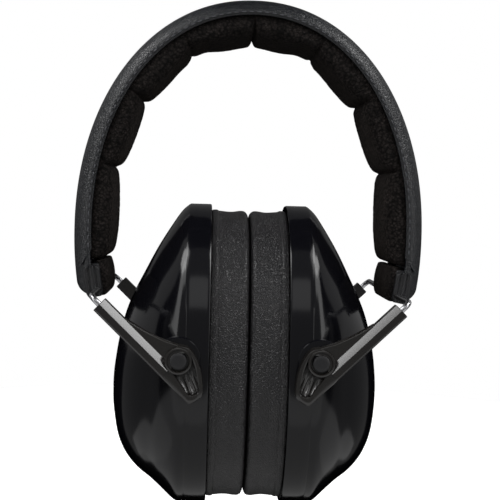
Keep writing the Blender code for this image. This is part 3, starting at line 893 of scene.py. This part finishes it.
class EARMUFF_OT_arms(bpy.types.Operator):
    """Builds the four smoke plastic arms: faceted rail, web, boss and scooped thumb paddle"""
    bl_idname = "earmuff.arms"
    bl_label = "Arms"

    # Outlines as (along, across) in millimetres
    web_outline = ((6.0, 1.2), (9.0, 2.7), (12.0, 3.35), (15.0, 4.1), (18.1, 5.1), (21.3, 6.3),
                   (24.4, 7.9), (26.0, 8.6), (28.0, 6.0), (28.0, 0.0), (6.0, 0.0))
    paddle_outline = ((25.2, 8.4), (27.0, 9.5), (29.0, 9.7), (31.2, 9.2), (33.4, 8.3), (35.6, 7.1),
                      (37.6, 5.6), (39.3, 4.1), (40.5, 2.7), (40.5, 1.0), (40.2, -0.6), (39.7, -1.7),
                      (38.9, -2.15), (36.5, -2.2), (32.0, -2.2), (28.5, -2.2), (27.0, -1.6),
                      (26.6, 0.4), (25.3, 1.6), (24.5, 3.0), (24.2, 5.4))
    recess_outline = ((27.6, 7.2), (28.4, 8.0), (29.8, 8.2), (31.2, 7.8), (32.9, 7.0), (34.6, 5.9),
                      (36.2, 4.8), (37.6, 3.8), (38.7, 2.7), (38.7, 1.3), (37.4, -0.2), (35.4, 0.1),
                      (33.0, 0.6), (30.4, 1.2), (29.0, 1.6), (28.2, 2.4), (27.6, 4.0), (27.4, 5.8))

    boss_middle, scoop_middle = (28.2, 4.8), Vector((32.5, 3.8))
    # The paddle's rim: how far from its outline towards the recess, and its height there
    rim_steps = ((0.0, 0.0), (0.0, 3.6), (0.10, 3.95), (0.35, 4.1), (0.72, 4.1), (0.93, 3.95),
                 (1.0, 3.6), (1.02, 2.9))

    def floor(self, along, across):
        """The scoop's height: it rises away from the boss, with flutes that run down from there."""
        along, across = along - self.boss_middle[0], across - self.boss_middle[1]
        out = math.hypot(along, across)
        flute = 0.28 * math.cos(2 * math.pi * (along * 0.375 + across * 0.927 + 0.1) / 1.94)
        return 1.5 + 1.9 * min(1.0, out / 10.0) ** 2.5 + flute * min(1.0, max(0.0, out - 3.0) / 6)

    def paddle(self):
        """Underside, rim and scooped floor in one skin, from the underside's middle."""
        rows, rim = 34, len(self.rim_steps)

        def place(u, v):
            row = round(v * (rows + 1)) - 1
            if row < 0:
                return Vector((32.5, 1.5, 0.0)) / 1000
            outer = along_curve(self.paddle_outline + self.paddle_outline[:1], u)
            inner = along_curve(self.recess_outline + self.recess_outline[:1], u)
            step = round(row / (rows + 1) * rows)
            if step < rim:
                share, height = self.rim_steps[step]
                point = outer.lerp(inner, share)
            elif step < rows - 1:
                share = (step - rim) / (rows - 1 - rim)
                point = inner.lerp(self.scoop_middle, 0.03 + 0.97 * share)
                height = self.floor(*point)
            else:
                point, height = outer, 0.0
            return Vector((point.x, point.y, height)) / 1000

        return wrapped(144, rows + 1, place)

    def rail(self):
        """The straight rail: a flat dark face, a wide facet towards the cup and a narrow one below."""
        section = ((-2.25, 0.0), (-2.25, 3.7), (-1.65, 4.5), (0.3, 4.5), (2.35, 2.8), (2.35, 0.0))
        shape = slab([(b / 1000, h / 1000) for b, h in section], 0.0, 0.0280)
        long_edges = [e for e in shape.edges if abs(e.verts[0].co.z - e.verts[1].co.z) > 0.01]
        round_edges(shape, long_edges, 0.00012, 2)
        tip_edges = [e for e in shape.edges if all(v.co.z < 1e-6 for v in e.verts)]
        round_edges(shape, tip_edges, 0.00022, 2)
        turn = Matrix(((0, 0, 1, 0), (1, 0, 0, 0), (0, 1, 0, 0), (0, 0, 0, 1)))
        bmesh.ops.transform(shape, matrix=turn, verts=shape.verts)
        return shape

    def execute(self, context):
        web = slab([(a / 1000, b / 1000) for a, b in self.web_outline], 0.0006, 0.0029, 0.00055)
        boss = lathed([(0.0, 0.0), (0.0, 0.0041), (0.0041, 0.0041), (0.0044, 0.00395), (0.0045, 0.0037),
                       (0.0045, 0.00335), (0.0043, 0.00320), (0.0040, 0.00312), (0.0026, 0.00312),
                       (0.0026, 0.0)], (*PIVOT, 0.0), (0, 0, 1), 64)
        shape = merged(self.rail(), web, boss, self.paddle())
        bmesh.ops.transform(shape, matrix=arm_matrix(), verts=shape.verts)
        for end, side, piece in at_corners("sliding_arm", shape, SMOKE, 30):
            flattened(piece)
            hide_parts(f"arm_{end}_{side}")
            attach(piece, f"arms_{side}")
        return {"FINISHED"}


class EARMUFF_OT_pivots(bpy.types.Operator):
    """Builds the pivot pins with their round heads, and finishes the clips that hold them"""
    bl_idname = "earmuff.pivots"
    bl_label = "Pivot pins"

    def execute(self, context):
        profile = ((0.0420, 0.0), (0.0420, 0.0012), (0.0419, 0.0021), (0.0417, 0.00245), (0.0413, 0.0026),
                   (0.0402, 0.0026), (0.0402, 0.0019), (0.0290, 0.0019), (0.0286, 0.0015), (0.0286, 0.0))
        shape = lathed([(-y, radius) for y, radius in profile], pivot_place(), (0, 1, 0), 48)
        for end, side, piece in at_corners("round_pin", shape, NYLON):
            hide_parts(f"pivot_pin_{end}_{side}")
            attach(piece, f"cup_{side}")
            dress(STEEL, f"pin_clip_{end}_{side}")
        return {"FINISHED"}


class EARMUFF_OT_cups(bpy.types.Operator):
    """Builds the glossy cup shells: a straight rim, a crease and a domed side, with two bosses"""
    bl_idname = "earmuff.cups"
    bl_label = "Cup shells"

    columns, inner_rows, dome_rows = 144, 18, 44
    # The inside's size as a share of the outside's, and the wall where the dome is flat
    inside, wall = 0.94, 0.0018

    def execute(self, context):
        low, high = CUP_RIM
        rim = CUP_OVALS[0]
        outer = [(low + 0.0003, 0.0012), (low, 0.0008), (low + 0.0001, 0.0002), (low + 0.0005, 0.0),
                 (low + 0.0022, 0.0), (high - 0.0022, 0.0), (high - 0.0002, 0.0), (high, 0.0001)]
        rows = self.inner_rows + len(outer) + self.dome_rows

        def station(share):
            return along_curve(CUP_OVALS, share ** 1.25)

        def place(u, v):
            turn = 2 * math.pi * (u + 0.5 / self.columns)
            step = round(v * rows)
            if step < self.inner_rows:
                x, top, bottom, half = station(1 - step / (self.inner_rows - 1))
                middle, tall = (top + bottom) / 2, (top - bottom) / 2 * self.inside
                return oval(x - self.wall, middle + tall, middle - tall, half * self.inside, turn)
            step -= self.inner_rows
            if step < len(outer):
                x, inset = outer[step]
                return oval(x, rim[1] - inset, rim[2] + inset, rim[3] - inset, turn)
            x, top, bottom, half = station((step - len(outer) + 1) / (self.dome_rows + 1))
            return oval(x, top, bottom, half, turn)

        shape = wrapped(self.columns, rows, place)
        for hand in (-1, 1):
            boss = lathed([(0.0320 * hand, 0.0), (0.0320 * hand, 0.0068), (0.0366 * hand, 0.0066),
                           (0.0371 * hand, 0.0063), (0.0372 * hand, 0.0058), (0.0372 * hand, 0.0)],
                          pivot_place(), (0, 1, 0), 56)
            merged(shape, boss)
        for side, piece in on_both_sides("glossy_shell", shape, SHELL, 30):
            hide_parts(f"cup_shell_{side}")
            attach(piece, f"cup_{side}")
        return {"FINISHED"}


def around_rim(section, step, columns, rows):
    """A closed section carried round the cup's rim: (distance from the middle, inset past step)."""
    _, top, bottom, half = CUP_OVALS[0]
    section = tuple((x, inset + step) for x, inset in section + section[:1])

    def place(u, v):
        x, inset = along_curve(section, v)
        return oval(x, top - inset, bottom + inset, half - inset, 2 * math.pi * u)

    return wrapped(columns, rows, place, (0.26, 0.05))


class EARMUFF_OT_cushions(bpy.types.Operator):
    """Builds the ear cushions, swollen by cloth simulation, and the welt that joins them to the cup"""
    bl_idname = "earmuff.cushions"
    bl_label = "Ear cushions"

    # Closed section as (distance from the middle, inset from the cushion's outside)
    section = ((0.0108, 0.0001), (0.0088, 0.0003), (0.0068, 0.0005), (0.0050, 0.0005),
               (0.0035, 0.0002), (0.0018, 0.0001), (0.0008, 0.0005), (0.0003, 0.0012),
               (0.0001, 0.0028), (0.0001, 0.0065), (0.0001, 0.0095), (0.0004, 0.0120),
               (0.0014, 0.0138), (0.0028, 0.0150), (0.0050, 0.0154), (0.0075, 0.0154),
               (0.0108, 0.0150), (0.0109, 0.0100), (0.0109, 0.0050))
    welt_section = ((0.0094, 0.0006), (0.0098, 0.0002), (0.0104, -0.0001), (0.0112, -0.0001),
                    (0.0119, 0.0), (0.01205, 0.0003), (0.0120, 0.0011), (0.0110, 0.0012))

    def execute(self, context):
        step = context.scene.earmuff_sizes.cushion_inset
        shape = swollen(around_rim(self.section, step, 150, 64), CUSHION_SKIN, 0.0010,
                        lambda point: point.x > 0.0098, 0.0004)
        # The two cushions stay a hair apart
        for vert in shape.verts:
            vert.co.x = max(vert.co.x, 0.00003)
        for side, piece in on_both_sides("soft_cushion", shape, CUSHION_SKIN, 180):
            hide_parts(f"ear_cushion_{side}")
            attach(piece, f"cup_{side}")
        welt = around_rim(self.welt_section, step, 150, 18)
        for side, piece in on_both_sides("cushion_welt", welt, CUSHION_SKIN, 180):
            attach(piece, f"cup_{side}")
        return {"FINISHED"}


class EARMUFF_OT_inside(bpy.types.Operator):
    """Builds the foam in the cups and the plates that the cushions sit on"""
    bl_idname = "earmuff.inside"
    bl_label = "Foam and seal plates"

    # Distance from the middle, and how much of the foam's oval is left there
    foam_rows = ((0.0160, 0.02), (0.0160, 0.55), (0.0160, 0.90), (0.0166, 0.98), (0.0180, 1.0),
                 (0.0200, 1.0), (0.0230, 0.96), (0.0262, 0.88), (0.0294, 0.78), (0.0326, 0.67),
                 (0.0354, 0.56), (0.0372, 0.44), (0.0376, 0.24), (0.0377, 0.01))
    plate_section = ((0.0110, 0.0016), (0.0120, 0.0016), (0.0120, 0.0085), (0.0120, 0.0142),
                     (0.0110, 0.0142), (0.0110, 0.0085))

    def execute(self, context):
        _, top, bottom, half = CUP_OVALS[0]
        step = context.scene.earmuff_sizes.cushion_inset
        middle, tall, wide = (top + bottom) / 2, (top - bottom) / 2 - 0.0052, half - 0.0100

        def place(u, v):
            x, share = along_curve(self.foam_rows, v)
            lift = -0.0052 * max(0.0, (x - 0.02) / 0.018)
            return oval(x, middle + lift + tall * share, middle + lift - tall * share, wide * share,
                        2 * math.pi * u)

        for side, piece in on_both_sides("cup_foam", wrapped(96, 40, place), FOAM, 180):
            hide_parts(f"foam_insert_{side}")
            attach(piece, f"cup_{side}")
        plate = around_rim(self.plate_section, step - 0.0003, 120, 24)
        for side, piece in on_both_sides("seal_ring", plate, NYLON):
            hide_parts(f"seal_plate_{side}")
            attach(piece, f"cup_{side}")
        return {"FINISHED"}


class EARMUFF_OT_stage(bpy.types.Operator):
    """Sets up the pale floor, the soft studio light and the camera"""
    bl_idname = "earmuff.stage"
    bl_label = "Stage"

    # Name, place, height that it is aimed at, width, height, power in watts; one whose place is
    # off the middle stands on the right, and has a twin on the left
    softboxes = (
        ("strip", (0.62, -0.42, 0.28), -0.10, 0.26, 1.1, 1.8),
        ("top", (0.66, -0.24, 0.62), -0.10, 0.34, 0.34, 2.1),
        ("front_fill", (0.0, -1.30, 0.30), -0.08, 4.2, 3.6, 8.5),
        ("rear_fill", (0.0, 1.30, 0.90), -0.08, 2.2, 2.0, 1.5),
        ("front_key", (0.0, -1.00, 0.50), -0.08, 0.9, 0.45, 0.9),
        ("side", (1.10, 0.50, 0.55), -0.10, 1.4, 1.4, 2.2),
        ("low_fill", (0.0, -0.30, -0.95), -0.10, 3.4, 2.2, 11.5),
        ("low", (1.20, 0.10, -0.60), -0.10, 1.4, 1.2, 0.9),
    )
    # The cups hang this much lower than at rest when they have slid all the way down
    floor_drop = 0.029
    floor_radius = 0.36
    aim = Vector((0.0009, 0.0, -0.0669))
    distance = 0.345
    azimuth = math.radians(-2.5)
    elevation = math.radians(3.0)
    roll = math.radians(1.5)

    def add_lamp(self, context, name, kind, power, rotation, **settings):
        light = bpy.data.lights.new(name, kind)
        light.energy = power
        for setting, value in settings.items():
            setattr(light, setting, value)
        lamp = bpy.data.objects.new(name, light)
        lamp.rotation_euler = rotation
        context.scene.collection.objects.link(lamp)
        return lamp

    def execute(self, context):
        scene = context.scene
        low, _ = cad_box
        floor = bmesh.new()
        bmesh.ops.create_circle(floor, cap_ends=True, segments=96, radius=self.floor_radius)
        bmesh.ops.translate(floor, vec=(0, 0, low[2] - self.floor_drop), verts=floor.verts)
        data = bpy.data.meshes.new("studio_floor")
        floor.to_mesh(data)
        floor.free()
        data.materials.append(finish(PAPER))
        stage = bpy.data.objects.new("studio_floor", data)
        scene.collection.objects.link(stage)
        stage.visible_diffuse = stage.visible_glossy = stage.visible_shadow = False

        for name, (x, y, z), aim, width, height, power in self.softboxes:
            for word, hand in (("left_", -1), ("right_", 1)) if x else (("", 1),):
                place = Vector((x * hand, y, z))
                turn = (Vector((0.0, 0.0, aim)) - place).to_track_quat("-Z", "Y").to_euler()
                lamp = self.add_lamp(context, word + name, "AREA", power, turn, shape="RECTANGLE",
                                     size=width, size_y=height)
                lamp.location = place
                lamp.visible_camera = False
                # The low ones only show as reflections on the undersides
                lamp.visible_diffuse = "low" not in name
        lamp = self.add_lamp(context, "daylight", "SUN", 1.5,
                             (math.radians(12), math.radians(-6), 0.0), angle=math.radians(70))
        lamp.visible_glossy = False

        # The room is white to the camera, but lights nothing
        world = scene.world = bpy.data.worlds.new("studio")
        world.use_nodes = True
        background = world.node_tree.nodes["Background"]
        background.inputs["Color"].default_value = WHITE
        background.inputs["Strength"].default_value = 1.0
        world.cycles_visibility.glossy = world.cycles_visibility.diffuse = False
        scene.view_settings.view_transform = "Standard"

        lens = bpy.data.cameras.new("camera")
        lens.sensor_width, lens.lens, lens.clip_start = 36.0, 74.5, 0.01
        camera = bpy.data.objects.new("camera", lens)
        away = Vector((math.sin(self.azimuth) * math.cos(self.elevation),
                       -math.cos(self.azimuth) * math.cos(self.elevation), math.sin(self.elevation)))
        camera.location = self.aim + away * self.distance
        turned = (-away).to_track_quat("-Z", "Y").to_matrix() @ Matrix.Rotation(self.roll, 3, "Z")
        camera.rotation_euler = turned.to_euler()
        scene.collection.objects.link(camera)
        scene.camera = camera
        return {"FINISHED"}


PIECE_OPERATORS = (EARMUFF_OT_cover, EARMUFF_OT_seams, EARMUFF_OT_pads, EARMUFF_OT_clips,
                   EARMUFF_OT_wires, EARMUFF_OT_arms, EARMUFF_OT_pivots, EARMUFF_OT_cups,
                   EARMUFF_OT_cushions, EARMUFF_OT_inside, EARMUFF_OT_stage)


class EARMUFF_PT_panel(bpy.types.Panel):
    """Lists the earmuff's pieces in the sidebar"""
    bl_idname = "EARMUFF_PT_panel"
    bl_label = "Earmuff"
    bl_space_type = "VIEW_3D"
    bl_region_type = "UI"
    bl_category = "Earmuff"

    def draw(self, context):
        layout = self.layout
        for group in (context.scene.earmuff_sizes, context.scene.earmuff_colours):
            column = layout.column(align=True)
            for name in group.__annotations__:
                column.prop(group, name)
        for operator in PIECE_OPERATORS:
            layout.operator(operator.bl_idname)


CLASSES = (EarmuffSizes, EarmuffColours, *PIECE_OPERATORS, EARMUFF_PT_panel)


def register():
    for made in CLASSES:
        bpy.utils.register_class(made)
    bpy.types.Scene.earmuff_sizes = PointerProperty(type=EarmuffSizes)
    bpy.types.Scene.earmuff_colours = PointerProperty(type=EarmuffColours)


def unregister():
    del bpy.types.Scene.earmuff_colours
    del bpy.types.Scene.earmuff_sizes
    for made in reversed(CLASSES):
        bpy.utils.unregister_class(made)


def main():
    register()
    for operator in PIECE_OPERATORS:
        group, name = operator.bl_idname.split(".")
        getattr(getattr(bpy.ops, group), name)()


if __name__ == "__main__":
    main()
